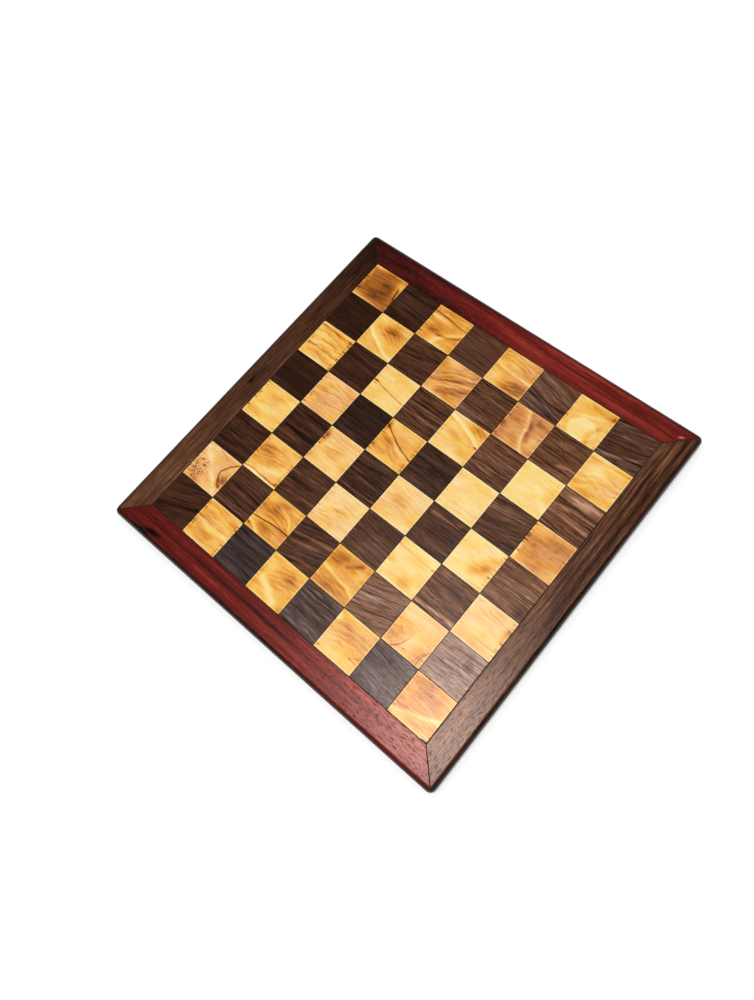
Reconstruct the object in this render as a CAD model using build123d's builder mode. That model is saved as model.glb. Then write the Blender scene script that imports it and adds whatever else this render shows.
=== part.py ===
from build123d import *
import os
from math import sqrt

# Chessboard: 64 solid-wood squares glued into a field, held in a mitred hardwood frame, on four felt feet.
# Millimetres. +X runs from file a to file h, +Y from rank 1 to rank 8, and +Z is up.
# The origin is on the table, under the middle of the board.

# Field
square_size = 50.0
squares_per_side = 8
board_thickness = 19.0

# Frame
rail_width = 33.5
corner_radius = 7.0  # of each outer corner, seen from above
top_edge_radius = 6.0  # the roundover along the upper outer edge
bottom_edge_radius = 2.0
edge_flat = 0.5  # the least flat left between a roundover and what bounds it

# Splines in the joint between the field and the rails
spline_thickness = 4.0
spline_reach = 5.0  # into the field, and as far into the rail
spline_end_gap = 3.0  # between the ends of two neighbouring splines, inside the corner squares
glue_gap = 0.1  # left for glue on every side of a spline or key

# Keys across the mitres
key_thickness = 4.0
key_width = 10.0
key_reach = 7.0  # into each of the two rails
key_web = 1.5  # wood between a key's mortise and the spline groove

# Felt feet
foot_diameter = 22.0
foot_thickness = 3.0
foot_chamfer = 0.5  # round the lower edge
foot_inset = 18.0  # from the two outer faces to the middle of a foot

# Derived sizes and places
field_size = square_size * squares_per_side
outer_size = field_size + 2 * rail_width
board_bottom = foot_thickness
board_middle = board_bottom + board_thickness / 2
groove_depth = spline_reach + glue_gap
groove_height = spline_thickness + 2 * glue_gap
groove_bottom = board_middle - groove_height / 2
spline_length = field_size - 2 * (spline_reach + spline_end_gap)
key_distance = sqrt(2) * (field_size / 2 + groove_depth + key_web) + key_width / 2 + key_reach
foot_distance = outer_size / 2 - foot_inset
top_roundover = min(top_edge_radius, corner_radius - edge_flat, board_thickness / 2 - edge_flat)
bottom_roundover = min(bottom_edge_radius, corner_radius - edge_flat, board_thickness / 2 - edge_flat)

# Sides and corners in order, a quarter turn apart, from the rail at the +X end and the corner on its left
sides = ("right", "back", "left", "front")
corners = ("back_right", "back_left", "front_left", "front_right")
quarter_turn = 360 / len(sides)
half_mitre = quarter_turn / 2


def heading(angle):
    """The level direction that points this many degrees round from +X."""
    return Vector(1, 0, 0).rotate(Axis.Z, angle)


def square_centre(index):
    """Where the middle of a file or a rank lies, counted from the middle of the board."""
    return (index + 0.5) * square_size - field_size / 2


def export_node(node, name):
    """Label a finished piece and write it under its own name."""
    node.part.label = name
    export_step(node.part, f"parts/{name}.step")


def make_squares(file_index, is_light):
    """The blocks of one colour in one file. The outer ones are grooved for the splines."""
    x = square_centre(file_index)
    places = [
        (x, square_centre(rank_index))
        for rank_index in range(squares_per_side)
        if (file_index + rank_index) % 2 == int(is_light)
    ]
    with BuildPart() as squares:
        with BuildSketch(Plane.XY.offset(board_bottom)):
            with Locations(*places):
                Rectangle(square_size, square_size)
        extrude(amount=board_thickness)
        with BuildSketch(Plane.XY.offset(groove_bottom)):
            Rectangle(field_size, field_size)
            Rectangle(field_size - 2 * groove_depth, field_size - 2 * groove_depth, mode=Mode.SUBTRACT)
        extrude(amount=groove_height, mode=Mode.SUBTRACT)
    return squares


def mitre_plane(angle):
    """The upright plane of one mitre, centred on its key, with X pointing out along the joint."""
    outward = heading(angle)
    centre = outward * key_distance + Vector(0, 0, board_middle)
    return Plane(origin=centre, x_dir=outward, z_dir=heading(angle + quarter_turn))


def make_rail(side_angle):
    """One rail: the rounded, grooved and mortised frame, cut off at the two mitres beside this side."""
    with BuildPart() as rail:
        with BuildSketch(Plane.XY.offset(board_bottom)):
            RectangleRounded(outer_size, outer_size, corner_radius)
            Rectangle(field_size, field_size, mode=Mode.SUBTRACT)
        extrude(amount=board_thickness)
        fillet(rail.faces().sort_by(Axis.Z)[-1].outer_wire().edges(), top_roundover)
        fillet(rail.faces().sort_by(Axis.Z)[0].outer_wire().edges(), bottom_roundover)
        with BuildSketch(Plane.XY.offset(groove_bottom)):
            Rectangle(field_size + 2 * groove_depth, field_size + 2 * groove_depth)
        extrude(amount=groove_height, mode=Mode.SUBTRACT)
        for mitre_turn in (-half_mitre, half_mitre):
            with BuildSketch(mitre_plane(side_angle + mitre_turn)):
                SlotOverall(key_width + 2 * glue_gap, key_thickness + 2 * glue_gap)
            extrude(amount=key_reach + glue_gap, both=True, mode=Mode.SUBTRACT)
        for inward_turn in (-half_mitre, half_mitre):
            mitre = Plane(origin=(0, 0, 0), z_dir=heading(side_angle + inward_turn))
            split(bisect_by=mitre, keep=Keep.TOP)
    return rail


def make_spline(side_angle):
    """A plywood strip that lies half in the field and half in one rail."""
    joint = heading(side_angle) * (field_size / 2) + Vector(0, 0, groove_bottom + glue_gap)
    with BuildPart() as spline:
        with BuildSketch(Plane(origin=joint, x_dir=heading(side_angle - quarter_turn), z_dir=(0, 0, 1))):
            Rectangle(spline_length, 2 * spline_reach)
        extrude(amount=spline_thickness)
    return spline


def make_key(corner_angle):
    """A round-edged loose tenon that crosses one mitre."""
    with BuildPart() as key:
        with BuildSketch(mitre_plane(corner_angle)):
            SlotOverall(key_width, key_thickness)
        extrude(amount=key_reach, both=True)
    return key


def make_foot(corner_angle):
    """A felt disc stuck under one corner of the frame."""
    corner = heading(corner_angle) * (foot_distance * sqrt(2))
    with BuildPart() as foot:
        with BuildSketch(Plane.XY):
            with Locations((corner.X, corner.Y)):
                Circle(foot_diameter / 2)
        extrude(amount=foot_thickness)
        chamfer(foot.faces().sort_by(Axis.Z)[0].edges(), foot_chamfer)
    return foot


os.makedirs("parts", exist_ok=True)

for file_index in range(squares_per_side):
    file_letter = chr(ord("a") + file_index)
    export_node(make_squares(file_index, is_light=True), f"light_squares_file_{file_letter}")
    export_node(make_squares(file_index, is_light=False), f"dark_squares_file_{file_letter}")

for turns, (side, corner) in enumerate(zip(sides, corners)):
    side_angle = turns * quarter_turn
    corner_angle = side_angle + half_mitre
    export_node(make_rail(side_angle), f"rail_{side}")
    export_node(make_spline(side_angle), f"spline_{side}")
    export_node(make_key(corner_angle), f"mitre_key_{corner}")
    export_node(make_foot(corner_angle), f"foot_{corner}")
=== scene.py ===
"""A wooden chessboard: the finish of every piece, the torn grain at the joints, the light and the camera.

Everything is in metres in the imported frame: +X from file a to file h, +Y from rank 1 to rank 8, +Z up.
Inside a square, places are given as u to the right and v towards rank 1, both from 0 to 1. On the rails
they run on from the field's far left corner, also in squares.
"""
import math
import random

import bmesh
import bpy
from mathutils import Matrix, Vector


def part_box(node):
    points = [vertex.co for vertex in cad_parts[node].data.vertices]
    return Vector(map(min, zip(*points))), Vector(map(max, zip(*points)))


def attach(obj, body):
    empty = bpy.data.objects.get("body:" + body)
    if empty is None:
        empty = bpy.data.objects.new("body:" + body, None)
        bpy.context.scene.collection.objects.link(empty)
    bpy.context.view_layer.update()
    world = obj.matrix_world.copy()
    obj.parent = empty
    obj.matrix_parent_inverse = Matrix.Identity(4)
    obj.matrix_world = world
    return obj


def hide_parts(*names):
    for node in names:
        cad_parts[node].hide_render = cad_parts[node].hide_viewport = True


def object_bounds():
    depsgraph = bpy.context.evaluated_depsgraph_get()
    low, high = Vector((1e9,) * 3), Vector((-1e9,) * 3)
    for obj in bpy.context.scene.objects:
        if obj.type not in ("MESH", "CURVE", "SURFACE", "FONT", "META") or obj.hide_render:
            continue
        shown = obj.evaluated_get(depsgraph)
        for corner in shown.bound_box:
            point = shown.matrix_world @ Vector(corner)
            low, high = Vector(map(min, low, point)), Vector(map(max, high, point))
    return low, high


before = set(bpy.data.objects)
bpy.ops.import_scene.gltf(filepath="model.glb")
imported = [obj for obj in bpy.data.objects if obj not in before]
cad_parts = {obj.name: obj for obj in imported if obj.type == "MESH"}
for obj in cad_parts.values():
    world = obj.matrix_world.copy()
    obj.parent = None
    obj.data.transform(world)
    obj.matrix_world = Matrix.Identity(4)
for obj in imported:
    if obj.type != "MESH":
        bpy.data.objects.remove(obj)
cad_box = [list(corner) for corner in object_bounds()]

MM = 0.001
FILES = "abcdefgh"
RANKS = "12345678"

field_low = Vector(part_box("dark_squares_file_a")[0])
field_high = Vector(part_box("dark_squares_file_h")[1])
SQUARE = (field_high.x - field_low.x) / len(FILES)
SQUARE_MM = SQUARE / MM
TOP = field_high.z
TOP_MM = TOP / MM
OUTER_HALF_MM = cad_box[1][0] / MM


def rgb(red, green, blue):
    """A colour given as screen values from 0 to 255, as the linear values that shaders take."""
    channels = [value / 255 for value in (red, green, blue)]
    return [c / 12.92 if c <= 0.04045 else ((c + 0.055) / 1.055) ** 2.4 for c in channels] + [1.0]


# Shader arithmetic

class Wire:
    """An output in a node tree that can be used in plain arithmetic."""

    def __init__(self, tree, socket):
        self.tree = tree
        self.socket = socket

    def __add__(self, other):
        return maths(self.tree, "ADD", self, other)

    def __sub__(self, other):
        return maths(self.tree, "SUBTRACT", self, other)

    def __rsub__(self, other):
        return maths(self.tree, "SUBTRACT", other, self)

    def __mul__(self, other):
        return maths(self.tree, "MULTIPLY", self, other)

    def __truediv__(self, other):
        return maths(self.tree, "DIVIDE", self, other)

    __radd__ = __add__
    __rmul__ = __mul__


def plug(tree, value, socket):
    """Put a wire or a fixed value into a socket."""
    if isinstance(value, Wire):
        tree.links.new(value.socket, socket)
    else:
        socket.default_value = value


def maths(tree, operation, *values):
    node = tree.nodes.new("ShaderNodeMath")
    node.operation = operation
    for value, socket in zip(values, node.inputs):
        plug(tree, value, socket)
    return Wire(tree, node.outputs[0])


def smooth(value, start, end, from_value=0.0, to_value=1.0):
    """A soft step from from_value at start to to_value at end."""
    tree = value.tree
    node = tree.nodes.new("ShaderNodeMapRange")
    node.interpolation_type = "SMOOTHSTEP"
    names = ("Value", "From Min", "From Max", "To Min", "To Max")
    for name, number in zip(names, (value, start, end, from_value, to_value)):
        plug(tree, number, node.inputs[name])
    return Wire(tree, node.outputs["Result"])


NOISE_GAIN = 1.6  # the raw noise keeps closer to its middle than the tones want


def noise(tree, x, y, z=0.0, detail=2.0, roughness=0.5):
    """Fractal noise about zero, mostly between -0.5 and 0.5, with one bump per unit of x, y and z."""
    place = tree.nodes.new("ShaderNodeCombineXYZ")
    for value, socket in zip((x, y, z), place.inputs):
        plug(tree, value, socket)
    node = tree.nodes.new("ShaderNodeTexNoise")
    tree.links.new(place.outputs[0], node.inputs["Vector"])
    node.inputs["Scale"].default_value = 1.0
    node.inputs["Detail"].default_value = detail
    node.inputs["Roughness"].default_value = roughness
    return (Wire(tree, node.outputs["Fac"]) - 0.5) * NOISE_GAIN


def ramp(value, stops):
    """A colour for each value, read between the stops."""
    tree = value.tree
    node = tree.nodes.new("ShaderNodeValToRGB")
    elements = node.color_ramp.elements
    while len(elements) < len(stops):
        elements.new(1.0)
    for element, (position, colour) in zip(elements, stops):
        element.position = position
        element.color = colour
    plug(tree, value, node.inputs["Fac"])
    return Wire(tree, node.outputs["Color"])


def blend(factor, first, second):
    """The first colour where factor is 0, and the second where it is 1."""
    tree = factor.tree
    node = tree.nodes.new("ShaderNodeMix")
    node.data_type = "RGBA"
    node.clamp_factor = True
    plug(tree, factor, node.inputs["Factor"])
    plug(tree, first, node.inputs[6])
    plug(tree, second, node.inputs[7])
    return Wire(tree, node.outputs[2])


def position_mm(tree):
    """The x, y and z of the shaded point in the row frame, in millimetres."""
    coordinates = tree.nodes.new("ShaderNodeTexCoord")
    split = tree.nodes.new("ShaderNodeSeparateXYZ")
    tree.links.new(coordinates.outputs["Object"], split.inputs[0])
    return [Wire(tree, output) * (1 / MM) for output in split.outputs]


def new_material(name):
    material = bpy.data.materials.new(name)
    material.use_nodes = True
    tree = material.node_tree
    shader = tree.nodes["Principled BSDF"]
    return material, tree, shader


LACQUER_SPECULAR = 0.30
LACQUER_TINT = (1.0, 0.78, 0.70, 1.0)
LACQUER_ROUGHNESS = 0.30
BARE_SPECULAR = 0.10
GLUE_ROUGHNESS = 0.6  # added where glue dulls the lacquer
GLUE_AND_GAP_SHADE_DARK = rgb(18, 10, 7)  # glue in the joints, and painted shade in open gaps


def finish_shader(tree, shader, colour, roughness, height, depth_mm, lacquered=True):
    """Join colour, roughness and relief to the shader. height runs from 0 to 1 over depth_mm."""
    plug(tree, colour, shader.inputs["Base Color"])
    plug(tree, roughness, shader.inputs["Roughness"])
    shader.inputs["Specular IOR Level"].default_value = LACQUER_SPECULAR if lacquered else BARE_SPECULAR
    if lacquered:
        shader.inputs["Specular Tint"].default_value = LACQUER_TINT
    bump = tree.nodes.new("ShaderNodeBump")
    bump.inputs["Strength"].default_value = 1.0
    bump.inputs["Distance"].default_value = depth_mm * MM
    plug(tree, height, bump.inputs["Height"])
    tree.links.new(bump.outputs["Normal"], shader.inputs["Normal"])


# Figure drawn into the wood, and some painted highlight, sheen and shade: each function returns a rule that
# gives what to add to the tone at (u, v)

def spot(x, y, rx, ry, tone, turn=0.0, edge=0.0):
    """A soft oval. edge is the share of its radius that stays flat before it fades."""
    c, s = math.cos(math.radians(turn)), math.sin(math.radians(turn))

    def rule(tree, u, v):
        a = ((u - x) * c + (v - y) * s) / rx
        b = ((v - y) * c - (u - x) * s) / ry
        distance = maths(tree, "SQRT", a * a + b * b)
        return smooth(distance, edge, 1.0, tone, 0.0)
    return rule


def along_line(u, v, start, end, bend):
    """How far (u, v) lies along a bowed line, from 0 to 1, and how far off it, positive on its right."""
    run = (end[0] - start[0], end[1] - start[1])
    length = math.hypot(*run)
    tx, ty = run[0] / length, run[1] / length
    along = ((u - start[0]) * tx + (v - start[1]) * ty) / length
    off = (v - start[1]) * tx - (u - start[0]) * ty
    bow = along * (1 - along) * (4 * bend)
    return along, off - bow


def streak(start, end, tone, width, bend=0.0, fade=0.2):
    """A soft bowed line that fades at both ends."""
    def rule(tree, u, v):
        along, off = along_line(u, v, start, end, bend)
        line = smooth(maths(tree, "ABSOLUTE", off), 0.0, width, tone, 0.0)
        ends = smooth(along, -fade / 2, fade / 2) * smooth(along, 1 - fade / 2, 1 + fade / 2, 1.0, 0.0)
        return line * ends
    return rule


def painted_ridge_light(start, end, tone, width, bend=0.0, flank=0.12, flank_width=0.2, side=1):
    """A painted highlight along a curl: a pale crest, with a wide soft painted shade of another tone on one
    side of it and a faint painted glow on both.
    """
    crest_highlight = streak(start, end, tone * 0.55, width * 1.5, bend)
    glow = streak(start, end, tone * 0.35, width * 4.5, bend)

    def rule(tree, u, v):
        along, off = along_line(u, v, start, end, bend)
        # painted shade on one side of the crest
        shade = smooth(off * side, width * 0.5, flank_width, flank, 0.0)
        shade = shade * smooth(off * side, 0.0, width)
        ends = smooth(along, -0.1, 0.1) * smooth(along, 0.9, 1.1, 1.0, 0.0)
        return crest_highlight(tree, u, v) + glow(tree, u, v) + shade * ends
    return rule


def rings(x, y, radius, tone, count=5, squash=1.0):
    """Growth rings round a knot, strongest at its middle."""
    def rule(tree, u, v):
        a = u - x + noise(tree, u * 3, v * 3, 2.3) * radius * 0.35
        b = (v - y) * squash + noise(tree, u * 3, v * 3, 5.1) * radius * 0.35
        distance = maths(tree, "SQRT", a * a + b * b) / radius
        wave = maths(tree, "SINE", distance * (count * math.tau))
        return wave * smooth(distance, 0.3, 1.0, tone, 0.0)
    return rule


def curls(turn, pitch, tone, x=0.5, y=0.5, rx=0.8, ry=0.8):
    """Curly growth lines inside a soft oval: each darkens slowly and ends in a crisp pale edge."""
    area = spot(x, y, rx, ry, 1.0, turn, 0.4)
    c, s = math.cos(math.radians(turn)), math.sin(math.radians(turn))

    def rule(tree, u, v):
        step = (v * c - u * s) / pitch + noise(tree, u * 1.7, v * 1.7, 8.2 + x) * 1.8
        saw = maths(tree, "FRACT", step)
        wave = smooth(saw, 0.0, 0.82, -0.5, 0.5) - smooth(saw, 0.86, 1.0)
        return wave * area(tree, u, v) * tone
    return rule


def specks(x, y, rx, ry, tone, fineness=34.0, turn=0.0):
    """Burl dots inside a soft oval."""
    area = spot(x, y, rx, ry, 1.0, turn, 0.3)

    def rule(tree, u, v):
        dots = noise(tree, u * fineness, v * fineness, 3.7, detail=1.5, roughness=0.7)
        inside = area(tree, u, v)
        return smooth(dots + inside * 0.22, 0.28, 0.40) * inside * tone
    return rule


def add_figure_and_light(tone, figure_and_light, u, v):
    for rule in figure_and_light:
        tone = tone + rule(tone.tree, u, v)
    return tone


# Light squares

CREAM, BUTTER, STRAW, GOLD, HONEY, AMBER, BROWN = 0.17, 0.24, 0.31, 0.38, 0.45, 0.52, 0.64

YELLOW_WOOD = (
    (0.00, rgb(255, 238, 174)),
    (0.20, rgb(255, 216, 124)),
    (0.38, rgb(249, 188, 82)),
    (0.54, rgb(226, 146, 50)),
    (0.70, rgb(176, 102, 32)),
    (0.85, rgb(108, 58, 20)),
    (1.00, rgb(40, 19, 10)),
)
PEACH_WOOD = (
    (0.00, rgb(255, 238, 198)),
    (0.20, rgb(255, 216, 154)),
    (0.38, rgb(244, 184, 114)),
    (0.54, rgb(220, 146, 84)),
    (0.70, rgb(168, 104, 64)),
    (0.85, rgb(102, 58, 40)),
    (1.00, rgb(42, 22, 18)),
)

# Each square: its ground tone, how pink it is, how torn its left and right edges are, and its figure with its
# painted highlights
LIGHT_FIGURE_AND_HIGHLIGHTS = {
    "a8": (BROWN, 0.1, 1.0, 0.3, [
        spot(0.42, 0.50, 0.62, 0.58, 0.14, 20, 0.45),
        spot(0.12, 0.00, 0.50, 0.14, -0.28), spot(0.20, 1.00, 0.55, 0.22, -0.22),
        spot(0.90, 0.22, 0.18, 0.40, -0.20), streak((0.88, 0.28), (0.97, 0.80), 0.30, 0.05, -0.03),
        spot(0.00, 0.50, 0.12, 0.60, -0.18)]),
    "c8": (AMBER, 0.0, 0.7, 0.2, [
        streak((-0.1, 0.18), (1.1, 0.27), 0.26, 0.035, 0.03), spot(0.15, 0.32, 0.60, 0.09, -0.30, 4),
        spot(0.30, 0.66, 0.42, 0.22, 0.20, -14), streak((0.42, 0.74), (1.1, 0.34), 0.30, 0.07, 0.05),
        painted_ridge_light((0.40, 1.05), (1.10, 0.38), -0.30, 0.07, -0.12, 0.10, 0.2),
        curls(-4, 0.13, 0.10, 0.5, 0.1, 0.7, 0.2),
        spot(0.70, 0.98, 0.50, 0.10, -0.22)]),
    "e8": (HONEY, 0.4, 0.2, 0.3, [
        curls(3, 0.11, 0.14, 0.6, 0.14, 0.8, 0.28),
        painted_ridge_light((-0.05, 0.44), (1.05, 0.54), -0.26, 0.035, 0.02, 0.10, 0.12, 1),
        spot(0.72, 0.82, 0.50, 0.24, 0.22, -18, 0.3), curls(-20, 0.09, 0.10, 0.7, 0.8, 0.5, 0.3),
        spot(0.15, 0.78, 0.28, 0.30, -0.18), spot(0.35, 0.36, 0.50, 0.10, -0.10, 4)]),
    "g8": (STRAW, 0.0, 0.5, 0.9, [
        spot(0.48, 0.74, 0.36, 0.32, -0.20, 0, 0.78), streak((0.84, 0.46), (0.74, 1.04), 0.20, 0.12, 0.10),
        spot(0.94, 0.14, 0.20, 0.16, 0.26, -25),
        spot(0.50, 0.12, 0.60, 0.16, 0.12), curls(4, 0.16, 0.05, 0.5, 0.2, 0.7, 0.25),
        streak((0.30, 0.42), (0.80, 0.28), -0.14, 0.06), spot(0.02, 0.50, 0.08, 0.30, 0.26)]),
    "b7": (GOLD, 0.0, 0.2, 0.2, [
        spot(0.62, 0.32, 0.44, 0.36, 0.20, 20, 0.2), spot(0.55, 0.26, 0.20, 0.16, 0.08),
        painted_ridge_light((-0.04, 0.38), (1.06, 0.94), -0.34, 0.05, 0.09, 0.14, 0.16, 1),
        spot(0.10, 0.10, 0.28, 0.26, -0.14),
        curls(24, 0.10, 0.08, 0.6, 0.4, 0.5, 0.4), curls(12, 0.09, 0.08, 0.2, 0.85, 0.5, 0.2)]),
    "d7": (HONEY, 0.6, 0.3, 0.2, [
        streak((-0.05, 0.74), (1.1, 0.20), 0.20, 0.10), streak((0.30, 0.92), (1.1, 0.46), 0.20, 0.14),
        curls(-24, 0.10, 0.16, 0.6, 0.45, 0.7, 0.5), spot(0.20, 0.12, 0.35, 0.22, -0.16),
        spot(0.95, 0.08, 0.25, 0.14, 0.16), spot(0.30, 0.97, 0.6, 0.12, -0.12)]),
    "f7": (AMBER, 0.9, 0.6, 0.7, [
        spot(0.16, 0.18, 0.38, 0.28, 0.14, -35), spot(0.48, 0.06, 0.30, 0.16, 0.10),
        painted_ridge_light((0.30, -0.02), (0.58, 0.50), -0.30, 0.06, -0.05, 0.10, 0.16, -1),
        painted_ridge_light((0.54, 0.46), (0.86, 1.08), -0.28, 0.05, 0.07, 0.08, 0.16, -1),
        streak((0.60, 0.26), (0.74, 0.76), 0.16, 0.12, 0.03), streak((0.66, 0.14), (1.04, 0.28), 0.12, 0.12),
        spot(0.88, 0.62, 0.22, 0.38, -0.10, 20), spot(0.32, 0.58, 0.26, 0.20, -0.08, 30),
        spot(0.03, 0.62, 0.12, 0.16, 0.18), spot(0.15, 0.88, 0.30, 0.18, 0.08)]),
    "h7": (STRAW, 0.3, 0.2, 0.4, [
        spot(0.30, 0.36, 0.40, 0.26, -0.16), streak((-0.1, 0.13), (1.1, 0.08), 0.16, 0.04),
        curls(-8, 0.16, 0.14, 0.6, 0.6, 0.8, 0.4), spot(0.40, 0.95, 0.5, 0.16, 0.18),
        spot(0.06, 0.78, 0.2, 0.14, 0.14)]),
    "a6": (GOLD, 0.0, 0.5, 1.0, [
        streak((0.05, 0.09), (1.1, 0.11), 0.26, 0.05), curls(1, 0.17, 0.16, 0.5, 0.5, 0.9, 0.7),
        streak((0.25, 0.43), (0.95, 0.41), 0.18, 0.04, 0.02), streak((0.0, 0.66), (1.1, 0.67), 0.24, 0.035),
        spot(0.94, 0.14, 0.10, 0.10, 0.26), spot(0.40, 0.97, 0.7, 0.10, -0.18),
        spot(0.10, 0.02, 0.5, 0.07, -0.20)]),
    "c6": (BUTTER, 0.1, 0.6, 0.1, [
        spot(0.55, 0.26, 0.50, 0.24, 0.12), streak((-0.05, 0.48), (1.05, 0.64), 0.46, 0.020, 0.02),
        spot(0.04, 0.51, 0.10, 0.04, 0.55), spot(0.06, 0.58, 0.09, 0.03, 0.40),
        spot(0.55, 0.85, 0.6, 0.25, -0.06)]),
    "e6": (STRAW, 0.3, 0.3, 0.4, [
        spot(0.80, 0.12, 0.50, 0.26, 0.20, 20),
        painted_ridge_light((-0.05, 0.10), (1.0, 0.50), -0.30, 0.05, -0.05, 0.16, 0.20, 1),
        spot(0.95, 0.50, 0.10, 0.06, 0.46), spot(0.38, 0.50, 0.32, 0.16, 0.14, 15),
        curls(20, 0.10, 0.12, 0.75, 0.1, 0.5, 0.3),
        spot(0.40, 0.92, 0.7, 0.20, -0.12)]),
    "g6": (CREAM, 0.1, 0.2, 0.4, [
        spot(0.88, 0.45, 0.22, 0.30, 0.14), curls(4, 0.09, 0.12, 0.75, 0.14, 0.45, 0.2),
        spot(0.1, 0.9, 0.4, 0.2, 0.05)]),
    "b5": (GOLD, 0.8, 0.7, 0.3, [
        streak((0.0, 0.60), (1.0, 0.62), 0.16, 0.03, 0.02), curls(-3, 0.12, 0.14, 0.5, 0.3, 0.8, 0.3),
        curls(-2, 0.08, 0.10, 0.5, 0.85, 0.7, 0.2)]),
    "d5": (GOLD, 0.1, 0.9, 0.6, [
        streak((-0.03, 0.16), (1.05, 0.66), 0.36, 0.03, 0.03),
        streak((0.0, 0.24), (1.05, 0.74), -0.10, 0.08, 0.03),
        spot(0.03, 0.18, 0.13, 0.24, 0.36),
        spot(0.30, 0.52, 0.38, 0.18, 0.18, 25), curls(26, 0.12, 0.10, 0.4, 0.6, 0.6, 0.3),
        spot(0.70, 0.20, 0.45, 0.22, -0.10, 15), spot(0.50, 0.92, 0.5, 0.14, -0.10),
        spot(0.97, 0.80, 0.10, 0.14, 0.2)]),
    "f5": (CREAM, 0.3, 0.4, 0.3, [
        spot(0.08, 0.18, 0.25, 0.16, 0.14), curls(-3, 0.12, 0.06, 0.5, 0.8, 0.6, 0.25)]),
    "h5": (HONEY, 0.6, 0.9, 0.3, [
        spot(0.56, 0.42, 0.75, 0.60, 0.11, 0, 0.35), spot(0.70, 0.20, 0.52, 0.30, 0.05),
        specks(0.50, 0.45, 0.60, 0.55, 0.06, 14), spot(0.85, 0.85, 0.30, 0.24, -0.10),
        spot(0.03, 0.82, 0.10, 0.36, -0.34)]),
    "a4": (STRAW, -0.1, 1.0, 0.3, [
        spot(0.35, 0.26, 0.50, 0.28, 0.14), spot(0.40, 0.64, 0.35, 0.10, -0.16),
        spot(0.92, 0.15, 0.25, 0.25, -0.10),
        spot(0.20, 0.85, 0.40, 0.16, 0.10), curls(-4, 0.20, 0.06, 0.6, 0.7, 0.6, 0.3)]),
    "c4": (STRAW, 0.5, 0.9, 0.4, [
        spot(0.05, 0.28, 0.15, 0.30, 0.36), spot(0.45, 0.55, 0.32, 0.26, 0.12),
        curls(-2, 0.10, 0.08, 0.4, 0.4, 0.6, 0.5)]),
    "e4": (STRAW, 0.6, 0.1, 0.1, [
        spot(0.34, 0.48, 0.40, 0.26, 0.10), spot(0.90, 0.15, 0.3, 0.25, -0.06),
        spot(0.7, 0.9, 0.5, 0.15, -0.08),
        curls(2, 0.11, 0.07, 0.4, 0.4, 0.6, 0.4)]),
    "g4": (CREAM, 0.1, 0.2, 0.7, [
        streak((0.50, 0.80), (1.1, 0.05), 0.22, 0.26), spot(0.97, 0.62, 0.07, 0.03, 0.45),
        spot(0.8, 0.95, 0.3, 0.08, 0.14),
        spot(0.80, 0.52, 0.18, 0.12, 0.12, -40)]),
    "b3": (GOLD, 0.1, 0.7, 0.6, [
        spot(0.22, 0.36, 0.34, 0.34, 0.16), streak((0.30, 0.95), (1.0, 0.50), -0.22, 0.20),
        curls(-12, 0.09, 0.09, 0.4, 0.4, 0.6, 0.5),
        streak((-0.05, 0.93), (1.05, 0.92), 0.32, 0.025), spot(0.5, 0.985, 0.9, 0.05, -0.35),
        spot(0.95, 0.89, 0.12, 0.06, 0.35)]),
    "d3": (BUTTER, 0.7, 0.5, 0.3, [
        curls(-4, 0.10, 0.22, 0.2, 0.74, 0.3, 0.14), spot(0.50, 0.48, 0.42, 0.12, 0.16, -12),
        spot(0.12, 0.25, 0.22, 0.15, 0.12),
        spot(0.75, 0.85, 0.4, 0.2, -0.06), curls(-10, 0.12, 0.10, 0.6, 0.4, 0.5, 0.3)]),
    "f3": (CREAM, 0.1, 0.4, 0.4, [
        streak((-0.05, 0.17), (1.05, 0.24), 0.16, 0.03, 0.02), spot(0.97, 0.22, 0.10, 0.05, 0.34),
        spot(0.0, 0.16, 0.05, 0.04, 0.35),
        spot(0.64, 0.82, 0.30, 0.22, 0.28), spot(0.08, 0.58, 0.20, 0.14, 0.16)]),
    "h3": (BUTTER, 0.6, 0.2, 0.9, [
        spot(0.95, 0.34, 0.18, 0.26, 0.28), curls(3, 0.10, 0.12, 0.4, 0.2, 0.7, 0.2),
        streak((-0.05, 0.82), (1.05, 0.76), 0.16, 0.03),
        spot(0.5, 0.93, 0.8, 0.13, 0.14), spot(0.35, 0.55, 0.40, 0.2, -0.08)]),
    "a2": (GOLD, 0.9, 0.5, 0.2, [
        specks(0.20, 0.68, 0.42, 0.52, 0.50, 30, 35), spot(0.18, 0.78, 0.35, 0.4, 0.12),
        spot(0.30, 0.96, 0.22, 0.10, 0.22),
        painted_ridge_light((-0.05, 0.10), (1.0, 1.02), -0.22, 0.08, -0.03, 0.06, 0.2),
        spot(0.88, 0.60, 0.20, 0.34, 0.26, 20),
        streak((1.03, 0.03), (0.70, 0.42), 0.34, 0.04, 0.05),
        streak((0.68, 0.40), (0.94, 0.80), 0.30, 0.045, 0.06),
        streak((0.3, 0.02), (0.66, 0.14), 0.20, 0.03), curls(50, 0.10, 0.12, 0.9, 0.6, 0.25, 0.35)]),
    "c2": (AMBER, 0.1, 0.4, 0.3, [
        spot(0.15, 0.12, 0.40, 0.16, -0.18), spot(0.40, 0.40, 0.38, 0.18, 0.18),
        streak((-0.03, 0.71), (1.05, 0.60), 0.50, 0.022, -0.02),
        painted_ridge_light((-0.05, 0.78), (0.38, 1.03), -0.30, 0.05, -0.02, 0.16, 0.12, 1),
        streak((0.45, 0.20), (0.95, 0.56), -0.18, 0.06, -0.08),
        spot(0.45, 0.82, 0.36, 0.14, 0.14), curls(10, 0.10, 0.12, 0.5, 0.45, 0.6, 0.3),
        spot(0.85, 0.12, 0.3, 0.14, -0.12),
        spot(0.08, 0.88, 0.12, 0.08, 0.2)]),
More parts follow.
